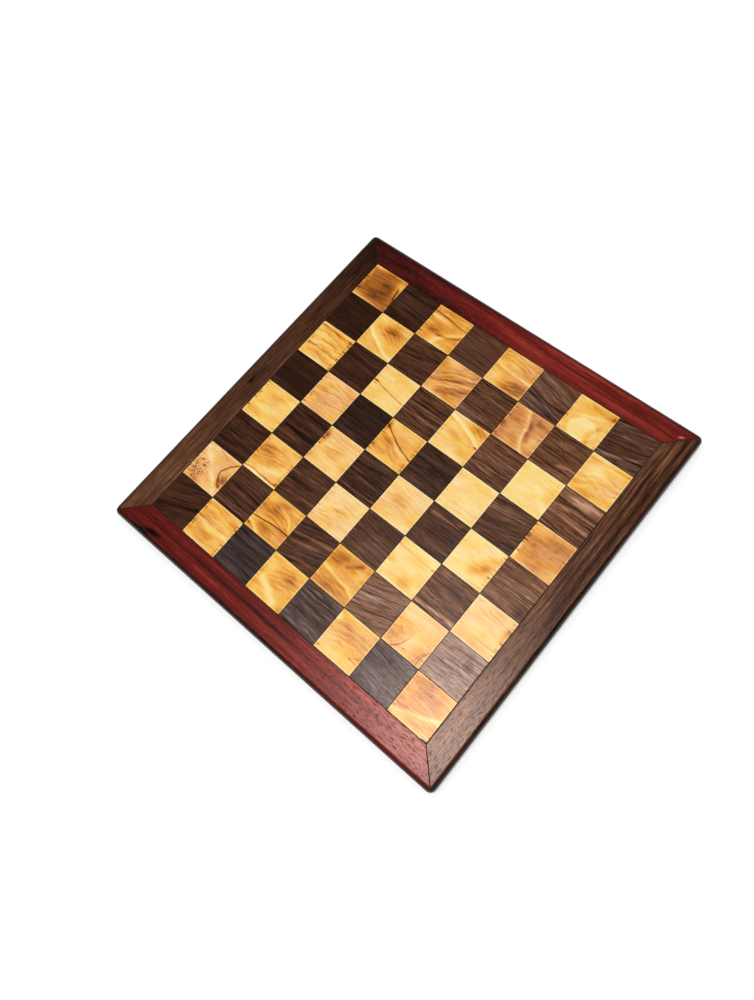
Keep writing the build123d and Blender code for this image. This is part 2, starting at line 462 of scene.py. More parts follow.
    "e2": (AMBER, 0.1, 0.4, 0.3, [
        spot(0.24, 0.24, 0.34, 0.26, 0.28, -25),
        painted_ridge_light((-0.05, 0.52), (1.05, 0.78), -0.30, 0.05, -0.02, 0.10, 0.2, 1),
        spot(0.85, 0.30, 0.22, 0.30, -0.14), streak((0.45, 0.32), (0.78, 0.06), 0.20, 0.09),
        spot(0.55, 0.90, 0.5, 0.12, 0.14),
        curls(12, 0.10, 0.10, 0.4, 0.8, 0.6, 0.25)]),
    "g2": (STRAW, 0.6, 0.4, 0.4, [
        spot(0.16, 0.78, 0.46, 0.42, 0.17), spot(0.86, 0.86, 0.38, 0.42, 0.15),
        spot(0.55, 0.55, 0.16, 0.36, -0.10, 20),
        streak((0.22, 1.00), (0.50, 0.56), 0.36, 0.020, 0.05),
        streak((0.14, 0.52), (0.36, 0.62), 0.20, 0.018, 0.03),
        streak((0.88, 1.02), (0.97, 0.58), 0.30, 0.020, -0.03),
        streak((0.78, 0.98), (0.90, 0.66), 0.20, 0.016),
        spot(0.50, 0.87, 0.025, 0.025, 0.40), spot(0.86, 0.50, 0.025, 0.025, 0.36),
        specks(0.20, 0.85, 0.30, 0.25, 0.14, 26),
        spot(0.20, 0.15, 0.40, 0.3, -0.06)]),
    "b1": (GOLD, 0.2, 0.8, 0.8, [
        spot(0.88, 0.20, 0.28, 0.18, 0.22), streak((0.0, 0.55), (1.0, 0.53), -0.20, 0.09),
        streak((0.0, 0.47), (0.9, 0.47), 0.14, 0.04),
        spot(0.50, 0.70, 0.4, 0.12, 0.10), spot(0.3, 0.95, 0.6, 0.1, -0.12),
        curls(0, 0.12, 0.12, 0.4, 0.25, 0.7, 0.3)]),
    "d1": (GOLD, 0.1, 0.6, 0.4, [
        spot(0.68, 0.30, 0.44, 0.28, 0.22), curls(-20, 0.10, 0.10, 0.6, 0.35, 0.5, 0.4),
        streak((0.10, 0.55), (0.80, 0.95), -0.22, 0.16),
        spot(0.92, 0.93, 0.2, 0.12, 0.10), spot(0.08, 0.85, 0.16, 0.2, 0.10)]),
    "f1": (GOLD, 0.25, 0.3, 0.3, [
        spot(0.50, 0.30, 0.65, 0.32, 0.12), curls(-6, 0.12, 0.14, 0.5, 0.4, 0.7, 0.4),
        spot(0.04, 0.18, 0.12, 0.16, -0.34, -30),
        streak((0.74, 0.72), (1.02, 0.60), 0.22, 0.022), streak((0.74, 0.73), (0.94, 0.76), 0.20, 0.022),
        spot(0.07, 0.90, 0.05, 0.04, 0.30),
        spot(0.45, 0.85, 0.8, 0.22, -0.16)]),
    "h1": (HONEY, 0.3, 0.3, 0.5, [
        spot(0.42, 0.30, 0.62, 0.42, 0.13, 0, 0.2), specks(0.38, 0.24, 0.3, 0.22, 0.10, 18),
        painted_ridge_light((-0.05, 0.92), (1.02, 0.46), -0.24, 0.032, 0.02, -0.04, 0.22),
        streak((0.0, 0.80), (0.8, 0.50), 0.05, 0.06),
        spot(0.92, 0.42, 0.10, 0.10, 0.12), spot(0.5, 0.98, 0.6, 0.08, -0.04)]),
}


def square_place(tree, square):
    """u and v inside one square, z, and the millimetres to its left, its right and its nearest edge."""
    x, y, z = position_mm(tree)
    left = (field_low.x + FILES.index(square[0]) * SQUARE) / MM
    far = (field_low.y + (RANKS.index(square[1]) + 1) * SQUARE) / MM
    u = (x - left) / SQUARE_MM
    v = (far - y) / SQUARE_MM
    to_left, to_right = u * SQUARE_MM, (1 - u) * SQUARE_MM
    to_end = maths(tree, "MINIMUM", v, 1 - v) * SQUARE_MM
    nearest = maths(tree, "MINIMUM", maths(tree, "MINIMUM", to_left, to_right), to_end)
    return u, v, z, to_left, to_right, nearest


def glue_line(tree, colour, nearest, depth):
    """Dark glue along the very edge of a block: the new colour, and how much of it is glue."""
    x, y, _ = position_mm(tree)
    uneven = noise(tree, x * 0.8, y * 0.8, depth) * 0.5
    dark = smooth(nearest + uneven, 0.15, 0.65, 0.92, 0.0)
    return blend(dark, colour, GLUE_AND_GAP_SHADE_DARK), dark


TORN_MM = 6.5  # how far in from a torn edge the grain is flecked
FLECK_TONE = 0.55
RIM_MM = (0.9, 2.4)  # in from a block's edges: where the wood is palest, and where it is plain again
RIM_LIFT = 0.15
TEAR_GLUE_AND_SHADE_TONE = 0.45  # how much darker the wood is inside a tear: partly glue, partly painted shade in the hollow
TINT_GAIN = 1.6


def light_wood(square):
    """The figured yellow wood of one light square."""
    ground, pink, torn_left, torn_right, figure_and_light = LIGHT_FIGURE_AND_HIGHLIGHTS[square]
    seed = FILES.index(square[0]) * 8.3 + RANKS.index(square[1]) * 3.1
    material, tree, shader = new_material(f"light_wood_{square}")
    u, v, z, left, right, nearest = square_place(tree, square)
    depth = z * 0.05 + seed

    wu = u + noise(tree, u * 2.2, v * 2.2, depth) * 0.09
    wv = v + noise(tree, u * 2.0, v * 2.4, depth + 11) * 0.07
    fu = u + noise(tree, u * 3.5, v * 3.5, depth + 21) * 0.06
    fv = v + noise(tree, u * 3.5, v * 3.5, depth + 31) * 0.05

    broad = noise(tree, wu * 1.3, wv * 4, depth, detail=3)
    streaks = noise(tree, fu * 2.2, fv * 14, depth + 2, detail=3, roughness=0.55)
    fibre = noise(tree, fu * 6, fv * 55, depth + 4, detail=2)
    cloud = noise(tree, wu * 2.0, wv * 2.2, depth + 6, detail=4)
    tint = noise(tree, wu * 1.8, wv * 3.0, depth + 19, detail=3)
    tone = broad * 0.20 + streaks * 0.20 + fibre * 0.15 + cloud * 0.22 + ground
    tone = add_figure_and_light(tone, figure_and_light, wu, wv)

    flecks = smooth(noise(tree, u * 5, v * 38, depth + 8, detail=2), 0.02, 0.20)
    torn = smooth(left, 0.0, TORN_MM, torn_left, 0.0) + smooth(right, 0.0, TORN_MM, torn_right, 0.0)
    tone = tone + flecks * torn * FLECK_TONE
    tone = tone - smooth(nearest, *RIM_MM, RIM_LIFT, 0.0)
    near_top = smooth(z, TOP_MM - 6, TOP_MM - 4)
    # inside the tears the wood is darker: partly glue, partly painted shade in the hollows
    tone = tone + smooth(z, TOP_MM - 0.6, TOP_MM - 0.05, TEAR_GLUE_AND_SHADE_TONE, 0.0) * near_top

    pinkness = tint * TINT_GAIN + pink
    colour = blend(pinkness, ramp(tone, YELLOW_WOOD), ramp(tone, PEACH_WOOD))
    # Painted shade: deeper than 0.8 mm below the top, as in the open gap at h1, the wood is painted nearly
    # black
    open_gap_painted_shade = smooth(z, TOP_MM - 1.6, TOP_MM - 0.8, 0.95, 0.0) * near_top
    colour = blend(open_gap_painted_shade, colour, GLUE_AND_GAP_SHADE_DARK)
    colour, glue = glue_line(tree, colour, nearest, depth)
    roughness = fibre * 0.10 + streaks * 0.06 + glue * GLUE_ROUGHNESS + LACQUER_ROUGHNESS
    height = fibre * 0.5 + streaks * 0.3 + 0.5
    finish_shader(tree, shader, colour, roughness, height, 0.05)
    return material


# Dark squares

NIGHT, SOOT, UMBER, WALNUT, CHESTNUT, FAWN = 0.20, 0.27, 0.34, 0.41, 0.48, 0.56

WARM_WALNUT = (
    (0.00, rgb(12, 4, 2)),
    (0.25, rgb(50, 25, 13)),
    (0.50, rgb(101, 61, 38)),
    (0.75, rgb(158, 108, 78)),
    (1.00, rgb(210, 168, 138)),
)
COOL_WALNUT = (
    (0.00, rgb(10, 7, 9)),
    (0.25, rgb(42, 34, 35)),
    (0.50, rgb(86, 74, 74)),
    (0.75, rgb(136, 122, 120)),
    (1.00, rgb(188, 176, 170)),
)

# Each square: its ground tone, how cool it is, the slope of its grain in degrees, the spacing of its grain
# lines in millimetres, how strongly they show, and its figure, with painted sheen on f2 and h2
DARK_FIGURE_AND_SHEEN = {
    "b8": (SOOT, 0.2, 2, 2.6, 0.7, [spot(0.5, 0.95, 0.8, 0.15, -0.10), spot(0.5, 0.3, 0.8, 0.25, 0.06)]),
    "d8": (WALNUT, 0.2, 3, 2.6, 0.6, [
        streak((0.2, 0.10), (1.1, 0.16), 0.10, 0.04), spot(0.5, 0.55, 0.7, 0.12, -0.06)]),
    "f8": (CHESTNUT, 0.3, 12, 3.4, 1.0, [
        spot(0.40, 0.14, 0.50, 0.18, 0.12, 10), streak((0.0, 0.50), (1.0, 0.66), -0.22, 0.06, 0.04),
        streak((0.0, 0.62), (0.8, 0.86), -0.14, 0.05), spot(0.75, 0.95, 0.4, 0.1, -0.12)]),
    "h8": (WALNUT, 0.3, -12, 2.8, 1.0, [
        streak((0.30, 0.34), (1.05, 0.20), 0.18, 0.07, 0.03),
        streak((0.10, 0.92), (1.05, 0.50), 0.18, 0.06, 0.06),
        spot(0.15, 0.6, 0.25, 0.4, -0.10), spot(0.7, 0.9, 0.3, 0.12, 0.08)]),
    "a7": (NIGHT, 0.0, 0, 3.0, 0.4, [spot(0.3, 0.85, 0.5, 0.12, 0.06)]),
    "c7": (UMBER, 0.0, -7, 4.2, 0.9, []),
    "e7": (WALNUT, 0.05, 1, 3.0, 1.1, [spot(0.3, 0.2, 0.6, 0.2, 0.08)]),
    "g7": (CHESTNUT, 0.0, 0, 2.8, 1.0, [
        rings(0.45, 0.45, 0.24, 0.05, 2, 1.8), streak((0.55, 0.74), (1.05, 0.66), 0.20, 0.05),
        spot(0.7, 0.9, 0.5, 0.14, 0.06)]),
    "b6": (SOOT, 0.0, 1, 3.4, 0.5, [
        streak((0.2, 0.24), (0.9, 0.26), 0.10, 0.05), spot(0.7, 0.85, 0.4, 0.14, 0.06)]),
    "d6": (UMBER, 0.0, 1, 3.0, 1.1, [
        spot(0.5, 0.12, 0.7, 0.14, 0.18), streak((0.0, 0.42), (1.1, 0.40), 0.16, 0.03),
        streak((-0.1, 0.67), (1.1, 0.64), 0.24, 0.05)]),
    "f6": (CHESTNUT, 0.2, 1, 3.2, 1.1, [
        streak((0.1, 0.68), (1.05, 0.66), 0.28, 0.035), spot(0.4, 0.1, 0.7, 0.12, 0.10)]),
    "h6": (FAWN, -0.1, 2, 3.4, 1.2, [
        spot(0.55, 0.14, 0.75, 0.16, 0.32), streak((0.0, 0.45), (1.1, 0.40), 0.22, 0.05),
        streak((-0.1, 0.62), (1.0, 0.66), 0.18, 0.05), streak((0.0, 0.33), (1.0, 0.31), -0.20, 0.06),
        streak((0.0, 0.54), (1.0, 0.53), -0.16, 0.04)]),
    "a5": (NIGHT, 0.0, 0, 3.0, 0.4, [spot(0.6, 0.4, 0.6, 0.2, 0.04)]),
    "c5": (NIGHT, 0.3, 0, 3.4, 0.5, [spot(0.4, 0.9, 0.6, 0.14, 0.10)]),
    "e5": (SOOT, 0.2, 0, 3.4, 0.6, [
        streak((0.0, 0.40), (1.0, 0.42), -0.20, 0.05), spot(0.4, 0.85, 0.7, 0.16, 0.10)]),
    "g5": (WALNUT, 0.2, -8, 2.2, 1.1, [spot(0.6, 0.3, 0.5, 0.2, 0.06)]),
    "b4": (SOOT, 0.1, 0, 3.0, 0.9, [
        streak((0.1, 0.61), (1.1, 0.66), -0.30, 0.035), spot(0.4, 0.76, 0.6, 0.12, 0.12),
        spot(0.6, 0.30, 0.4, 0.1, 0.06)]),
    "d4": (SOOT, 0.0, 0, 3.0, 0.9, [
        streak((0.0, 0.90), (1.05, 0.87), 0.22, 0.06), streak((0.3, 0.6), (1.0, 0.58), 0.10, 0.06)]),
    "f4": (UMBER, 0.1, 0, 3.0, 0.9, [
        streak((0.1, 0.20), (0.85, 0.12), 0.26, 0.10, 0.03), streak((0.0, 0.85), (1.05, 0.80), 0.12, 0.05)]),
    "h4": (FAWN, 0.1, 0, 2.2, 1.2, [
        streak((0.2, 0.20), (1.0, 0.18), 0.14, 0.05), streak((0.0, 0.50), (0.9, 0.47), 0.12, 0.05),
        spot(0.86, 0.88, 0.16, 0.12, -0.26)]),
    "a3": (SOOT, 0.0, 0, 3.0, 0.7, [spot(0.6, 0.15, 0.5, 0.16, 0.10)]),
    "c3": (UMBER, 0.1, -3, 3.2, 0.9, [
        streak((0.2, 0.80), (1.05, 0.74), 0.16, 0.08), spot(0.3, 0.3, 0.6, 0.2, -0.08)]),
    "e3": (WALNUT, 0.15, 4, 2.4, 1.0, []),
    "g3": (CHESTNUT, 0.1, 1, 3.2, 1.4, [
        streak((-0.05, 0.93), (1.05, 0.86), 0.36, 0.07), streak((0.0, 0.38), (0.9, 0.42), 0.14, 0.05)]),
    "b2": (UMBER, 0.05, 1, 3.6, 0.8, [
        streak((0.0, 0.93), (1.0, 0.91), 0.14, 0.04), spot(0.5, 0.5, 0.2, 0.6, 0.04)]),
    "d2": (UMBER, 0.1, -14, 3.0, 1.0, [
        streak((0.0, 0.42), (1.05, 0.22), 0.28, 0.07), streak((0.1, 0.62), (1.05, 0.42), 0.14, 0.05),
        spot(0.7, 0.85, 0.5, 0.14, 0.10, -10)]),
    # f2 and h2: the soft lift over the whole square is a painted sheen, where the lamp's haze lies
    "f2": (FAWN, 0.3, -16, 2.8, 1.2, [spot(0.5, 0.5, 1.4, 1.4, 0.07, 0, 0.4)]),
    "h2": (FAWN, 0.5, -2, 2.4, 1.2, [
        spot(0.5, 0.5, 1.4, 1.4, 0.15, 0, 0.4), rings(0.74, 0.33, 0.42, 0.06, 3, 1.2),
        spot(0.74, 0.33, 0.18, 0.16, -0.26)]),
    "a1": (SOOT, 0.0, -22, 4.5, 0.5, [
        streak((0.0, 0.85), (1.05, 0.40), -0.14, 0.08, 0.03), streak((0.0, 0.60), (0.9, 0.10), 0.05, 0.10)]),
    "c1": (SOOT, 0.9, 3, 3.0, 0.7, [spot(0.5, 0.9, 0.7, 0.10, 0.14), spot(0.5, 0.12, 0.6, 0.12, 0.08)]),
    "e1": (WALNUT, 0.8, 3, 3.0, 1.2, [
        spot(0.6, 0.80, 0.6, 0.1, 0.10), streak((0.0, 0.25), (1.0, 0.20), 0.12, 0.04)]),
    "g1": (WALNUT, 0.95, 6, 2.4, 1.2, []),
}


def walnut(tree, along, over, depth, ground, cool, pitch, contrast, figure_and_light, place):
    """Colour, roughness and height of walnut. along and over are millimetres along and across the grain."""
    sway = noise(tree, along * 0.02, over * 0.04, depth) * 2.6
    over = over + sway + noise(tree, along * 0.07, over * 0.14, depth + 3) * 0.6
    band = noise(tree, along * 0.012, over * 0.11, depth + 5, detail=2)
    lines = noise(tree, along * 0.024, over / pitch, depth + 7, detail=3, roughness=0.65)
    fibre = noise(tree, along * 0.07, over * 1.1, depth + 8, detail=3, roughness=0.65)
    veins = smooth(noise(tree, along * 0.016, over * 1.35 / pitch, depth + 13, detail=2), 0.04, 0.32)
    pore = smooth(noise(tree, along * 0.13, over * 2.0, depth + 9, detail=1), 0.14, 0.30)
    tone = (band * 0.24 + lines * 0.42 + fibre * 0.42 - veins * 0.28) * contrast + ground + 0.05
    tone = add_figure_and_light(tone, figure_and_light, *place) - pore * 0.18
    coolness = band * 0.8 + (cool - 0.15)
    colour = blend(coolness, ramp(tone, WARM_WALNUT), ramp(tone, COOL_WALNUT))
    roughness = fibre * 0.08 + pore * 0.25 + LACQUER_ROUGHNESS
    height = lines * 0.15 + fibre * 0.25 - pore * 0.5 + 0.5
    return colour, roughness, height


def dark_wood(square):
    """The walnut of one dark square."""
    ground, cool, slope, pitch, contrast, figure_and_light = DARK_FIGURE_AND_SHEEN[square]
    seed = FILES.index(square[0]) * 5.7 + RANKS.index(square[1]) * 9.1
    material, tree, shader = new_material(f"dark_wood_{square}")
    u, v, z, _, _, nearest = square_place(tree, square)
    depth = z * 0.05 + seed
    c, s = math.cos(math.radians(slope)), math.sin(math.radians(slope))
    along = (u * c + v * s) * SQUARE_MM
    over = (v * c - u * s) * SQUARE_MM
    place = (u + noise(tree, u * 3, v * 3, depth) * 0.06, v + noise(tree, u * 3, v * 4, depth + 2) * 0.05)
    colour, roughness, height = walnut(tree, along, over, depth, ground, cool, pitch, contrast, figure_and_light, place)
    colour, glue = glue_line(tree, colour, nearest, depth)
    finish_shader(tree, shader, colour, roughness + glue * GLUE_ROUGHNESS, height, 0.06)
    return material


# Rails

RED_WOOD = (
    (0.00, rgb(16, 4, 3)),
    (0.25, rgb(64, 13, 10)),
    (0.50, rgb(114, 26, 19)),
    (0.75, rgb(162, 56, 44)),
    (1.00, rgb(206, 116, 96)),
)

BACK_FIGURE = [
    # spot(-0.9, -0.3, ...) makes the rail darker towards the far left corner
    spot(-0.9, -0.3, 5.4, 1.6, -0.26), streak((-0.2, -0.42), (3.6, -0.40), 0.08, 0.12),
    spot(2.0, -0.02, 2.6, 0.14, -0.16), streak((4.2, -0.44), (7.6, -0.34), -0.12, 0.04, 0.04),
    streak((5.0, -0.22), (8.4, -0.26), -0.10, 0.05), streak((3.4, -0.30), (8.2, -0.14), 0.16, 0.16),
    spot(5.4, -0.3, 2.4, 0.8, 0.08), streak((4.5, -0.53), (8.3, -0.52), 0.14, 0.06),
    spot(8.27, -0.37, 0.10, 0.035, 0.9, -28)]
FRONT_FIGURE_AND_SHEEN = [
    streak((-0.3, 8.25), (4.5, 8.27), -0.14, 0.06), streak((0.2, 8.10), (3.0, 8.10), 0.12, 0.06),
    streak((1.0, 8.42), (5.5, 8.42), 0.12, 0.08), spot(0.46, 8.46, 0.34, 0.09, -0.60, -12),
    spot(0.20, 8.57, 0.40, 0.06, -0.40), streak((3.5, 8.26), (7.8, 8.24), -0.20, 0.06, 0.02),
    # spot(7.6, 8.25, ...) is a painted sheen: the rail is lighter towards the near right corner, where the
    # lamp's haze lies
    spot(7.6, 8.25, 5.2, 0.9, 0.26), streak((4.5, 8.12), (8.2, 8.10), 0.12, 0.06)]
LEFT_FIGURE = [
    # spot(-0.3, -0.6, ...) makes the rail darker towards the far left corner
    spot(-0.3, -0.6, 1.0, 2.6, -0.22), spot(-0.34, 4.28, 0.045, 0.16, -0.55),
    spot(-0.30, 4.05, 0.12, 0.5, -0.10),
    spot(-0.3, 5.35, 0.6, 0.35, -0.05), spot(-0.3, 7.4, 0.9, 3.6, 0.12),
    streak((-0.04, -0.2), (-0.04, 8.0), 0.10, 0.02)]
RIGHT_FIGURE_AND_SHEEN = [
    streak((8.17, -0.3), (8.19, 4.6), 0.16, 0.025), streak((8.24, -0.4), (8.26, 4.2), -0.20, 0.025),
    streak((8.31, -0.4), (8.33, 3.8), 0.14, 0.025), streak((8.09, 0.0), (8.10, 4.5), 0.06, 0.04),
    streak((8.43, -0.4), (8.44, 5.0), -0.16, 0.09), spot(8.25, 3.3, 0.4, 1.2, -0.08),
    # spot(8.2, 7.2, ...) is a painted sheen: the rail is lighter towards the near end, where the lamp's haze
    # lies
    spot(8.2, 7.2, 0.7, 3.2, 0.15)]


def rail_place(tree):
    """x, y and z in millimetres, and u and v in squares from the field's far left corner."""
    x, y, z = position_mm(tree)
    u = (x - field_low.x / MM) / SQUARE_MM
    v = (field_high.y / MM - y) / SQUARE_MM
    return x, y, z, u, v


def rail_edges(tree, glue_width, colour, x, y, seed):
    """The dark glue in the mitres and along the field: the new colour, and how much of it is glue."""
    across = maths(tree, "ABSOLUTE", x)
    along = maths(tree, "ABSOLUTE", y)
    uneven = noise(tree, x * 0.5, y * 0.5, seed + 40) * 0.5
    mitre = maths(tree, "ABSOLUTE", across - along) * math.sqrt(0.5)
    inner = maths(tree, "MAXIMUM", across, along) - field_high.x / MM
    in_mitre = smooth(mitre + uneven, 0.15, 0.80, 0.92, 0.0)
    beside_field = smooth(inner + uneven, 0.2, glue_width, 0.95, 0.0)
    dark = maths(tree, "MAXIMUM", in_mitre, beside_field)
    return blend(dark, colour, GLUE_AND_GAP_SHADE_DARK), dark


# Painted shade: the roundover is darkened as if turned from the light, and the side below it a little less
ROUNDOVER_PAINTED_SHADE = 0.50
ROUND_MM = (6.5, 1.5)  # in from the outer face: where the shade starts, and where it is full
SIDE_SHARE = 0.35  # of that shade, on the side below the roundover
SIDE_MM = (11, 5)  # down from the top: where only that share is left, and where all of it starts


def painted_roundover_shade(tree, x, y, z):
    """How much painted shade darkens the roundover: 0 on the flat top, and less on the side below."""
    outer = maths(tree, "MAXIMUM", maths(tree, "ABSOLUTE", x), maths(tree, "ABSOLUTE", y))
    high = smooth(z, TOP_MM - SIDE_MM[0], TOP_MM - SIDE_MM[1], SIDE_SHARE, 1.0)
    return smooth(outer, OUTER_HALF_MM - ROUND_MM[0], OUTER_HALF_MM - ROUND_MM[1], 0.0, ROUNDOVER_PAINTED_SHADE) * high


def brown_rail(name, seed, ground, cool, pitch, contrast, figure_and_light, glue_width):
    """Walnut with its grain along Y."""
    material, tree, shader = new_material(name)
    x, y, z, u, v = rail_place(tree)
    # the painted shade of the roundover darkens the ground
    shaded_ground = ground - painted_roundover_shade(tree, x, y, z)
    colour, roughness, height = walnut(
        tree, y, x + z * 0.6, seed, shaded_ground, cool, pitch, contrast, figure_and_light, (u, v))
    colour, glue = rail_edges(tree, glue_width, colour, x, y, seed)
    finish_shader(tree, shader, colour, roughness + glue * GLUE_ROUGHNESS, height, 0.08)
    return material


RED_GLUE_MM = 0.7  # how wide the glue shows between the red rails and the field


def red_rail(name, seed, ground, figure_and_light):
    """Red wood with its grain along X."""
    material, tree, shader = new_material(name)
    x, y, z, u, v = rail_place(tree)
    over = y + z * 0.6 + noise(tree, x * 0.02, y * 0.05, seed) * 4.0
    band = noise(tree, x * 0.008, over * 0.14, seed + 1, detail=3)
    lines = noise(tree, x * 0.02, over * 0.40, seed + 2, detail=4, roughness=0.6)
    fibre = noise(tree, x * 0.08, over * 1.4, seed + 4, detail=2)
    pore = smooth(noise(tree, x * 0.12, over * 1.5, seed + 3, detail=1), 0.14, 0.26)
    # the painted shade of the roundover is taken off the tone
    tone = band * 0.30 + lines * 0.30 + fibre * 0.22 + ground - pore * 0.26 - painted_roundover_shade(tree, x, y, z)
    tone = add_figure_and_light(tone, figure_and_light, u, v)
    colour = ramp(tone, RED_WOOD)
    colour, glue = rail_edges(tree, RED_GLUE_MM, colour, x, y, seed)
    roughness = lines * 0.08 + pore * 0.25 + glue * GLUE_ROUGHNESS + LACQUER_ROUGHNESS
    height = lines * 0.2 + fibre * 0.2 - pore * 0.6 + 0.5
    finish_shader(tree, shader, colour, roughness, height, 0.08)
    return material


# Small pieces

def plain_wood(name, light, dark):
    """Ply or beech, for the pieces inside the joints."""
    material, tree, shader = new_material(name)
    x, y, z = position_mm(tree)
    lines = noise(tree, x * 0.3, y * 0.3, z * 1.5, detail=3)
    colour = blend(lines + 0.5, light, dark)
    finish_shader(tree, shader, colour, lines * 0.1 + 0.7, lines + 0.5, 0.05, lacquered=False)
    return material


def felt():
    """Pressed brown felt."""
    material, tree, shader = new_material("felt")
    x, y, z = position_mm(tree)
    fuzz = noise(tree, x * 3, y * 3, z * 3, detail=4, roughness=0.7)
    clumps = noise(tree, x * 0.6, y * 0.6, z * 0.6, detail=2)
    colour = blend(fuzz * 1.2 + clumps * 0.5 + 0.5, rgb(46, 34, 26), rgb(92, 72, 56))
    finish_shader(tree, shader, colour, fuzz * 0.1 + 0.92, fuzz + 0.5, 0.3, lacquered=False)
    shader.inputs["Sheen Weight"].default_value = 0.4
    return material


# Torn grain

TEETH_PER_EDGE = 16
TOOTH_WIDTH_MM = (0.6, 2.0)
TOOTH_LENGTH_MM = (0.6, 2.4)
TOOTH_DEPTH_MM = 0.5  # at the edge of the block
TIP_DEPTH_MM = 0.05
TOOTH_SHIFT = 0.9  # the share of the free room in its place that a tooth may be shifted in
MOST_TEETH = 0.9  # the share of the places that get a tooth on the most torn edges
OVERCUT_MM = 0.3  # how far the cutters reach past the wood
CORNER_GAP_MM = (9.0, 1.9, 2.0)  # the open end of the joint at h1: along the rail, across and deep
CORNER_GAP_BEND = (0.6, 0.7)  # the shares of its length and width where its inner edge bends
LEAST_LEFT = 0.99  # the share of a piece's volume that has to outlast a cut


def between(limits_mm, share):
    """The length in metres at this share of the way between two limits in millimetres."""
    return (limits_mm[0] + share * (limits_mm[1] - limits_mm[0])) * MM


def add_prism(mesh, plan, top, bottoms):
    """An upright prism over a plan of (x, y) corners, each with its own bottom height."""
    upper = [mesh.verts.new((x, y, top)) for x, y in plan]
    lower = [mesh.verts.new((x, y, z)) for (x, y), z in zip(plan, bottoms)]
    mesh.faces.new(upper)
    mesh.faces.new(list(reversed(lower)))
    for i in range(len(plan)):
        j = (i + 1) % len(plan)
        mesh.faces.new((upper[i], lower[i], lower[j], upper[j]))


def add_teeth(mesh, edge_x, inward, low_y, amount, draw):
    """Wedges where the saw tore the grain out of one edge of a block."""
    pitch = SQUARE / TEETH_PER_EDGE
    for step in range(TEETH_PER_EDGE):
        chance, width, length, shift = draw.random(), draw.random(), draw.random(), draw.random()
        if chance > amount * MOST_TEETH:
            continue
        width = between(TOOTH_WIDTH_MM, width)
        length = between(TOOTH_LENGTH_MM, length ** 2)
        y = low_y + (step + 0.5) * pitch + (shift - 0.5) * (pitch - width) * TOOTH_SHIFT
        outside = edge_x - inward * OVERCUT_MM * MM
        tip = (edge_x + inward * length, y + (shift - 0.5) * width)
        plan = [(outside, y - width / 2), tip, (outside, y + width / 2)]
        deep = TOP - TOOTH_DEPTH_MM * MM
        add_prism(mesh, plan, TOP + OVERCUT_MM * MM, [deep, TOP - TIP_DEPTH_MM * MM, deep])


def volume(mesh):
    solid = bmesh.new()
    solid.from_mesh(mesh)
    cubic_metres = solid.calc_volume()
    solid.free()
    return cubic_metres


def cut_away(piece, cutter_mesh):
    """Take the cutter's shapes, which mustn't overlap, out of a piece, for good."""
    whole = volume(piece.data)
    mesh = bpy.data.meshes.new("cutter")
    bmesh.ops.recalc_face_normals(cutter_mesh, faces=cutter_mesh.faces)
    cutter_mesh.to_mesh(mesh)
    cutter = bpy.data.objects.new("cutter", mesh)
    bpy.context.scene.collection.objects.link(cutter)
    modifier = piece.modifiers.new("tear", "BOOLEAN")
    modifier.operation = "DIFFERENCE"
    modifier.solver = "EXACT"
    modifier.object = cutter
    bpy.context.view_layer.update()
    evaluated = piece.evaluated_get(bpy.context.evaluated_depsgraph_get())
    torn = bpy.data.meshes.new_from_object(evaluated)
    if not LEAST_LEFT * whole < volume(torn) <= whole:
        raise RuntimeError(f"{piece.name}: the cut took {1 - volume(torn) / whole:.1%} of the wood")
    piece.modifiers.clear()
    piece.data = torn
    bpy.data.objects.remove(cutter)
    return torn


def open_corner(piece):
    """Open the end of the joint between the block on h1 and the front rail."""
    length, width, depth = (value * MM for value in CORNER_GAP_MM)
    x, y, over = field_high.x, field_low.y, OVERCUT_MM * MM
    bend = (x - length * CORNER_GAP_BEND[0], y + width * CORNER_GAP_BEND[1])
    plan = [(x + over, y - over), (x + over, y + width), bend, (x - length, y - over)]
    gap = bmesh.new()
    add_prism(gap, plan, TOP + over, [TOP - depth] * len(plan))
    mesh = cut_away(piece, gap)
    gap.free()
    return mesh


def tear_edges(piece, letter):
    """Tear the left and right edges of the light blocks in one file."""
    draw = random.Random(40 + FILES.index(letter))
    cutter = bmesh.new()
    left_x = field_low.x + FILES.index(letter) * SQUARE
    for row, rank in enumerate(RANKS):
        square = letter + rank
        if square in LIGHT_FIGURE_AND_HIGHLIGHTS:
            low_y = field_low.y + row * SQUARE
            add_teeth(cutter, left_x, 1, low_y, LIGHT_FIGURE_AND_HIGHLIGHTS[square][2], draw)
            add_teeth(cutter, left_x + SQUARE, -1, low_y, LIGHT_FIGURE_AND_HIGHLIGHTS[square][3], draw)
    mesh = cut_away(piece, cutter)
    cutter.free()
    return open_corner(piece) if letter == "h" else mesh


# Pieces

def dress(node_name, material):
    """Give a CAD node its material."""
    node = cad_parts[node_name]
    node.data.materials.clear()
    node.data.materials.append(material)


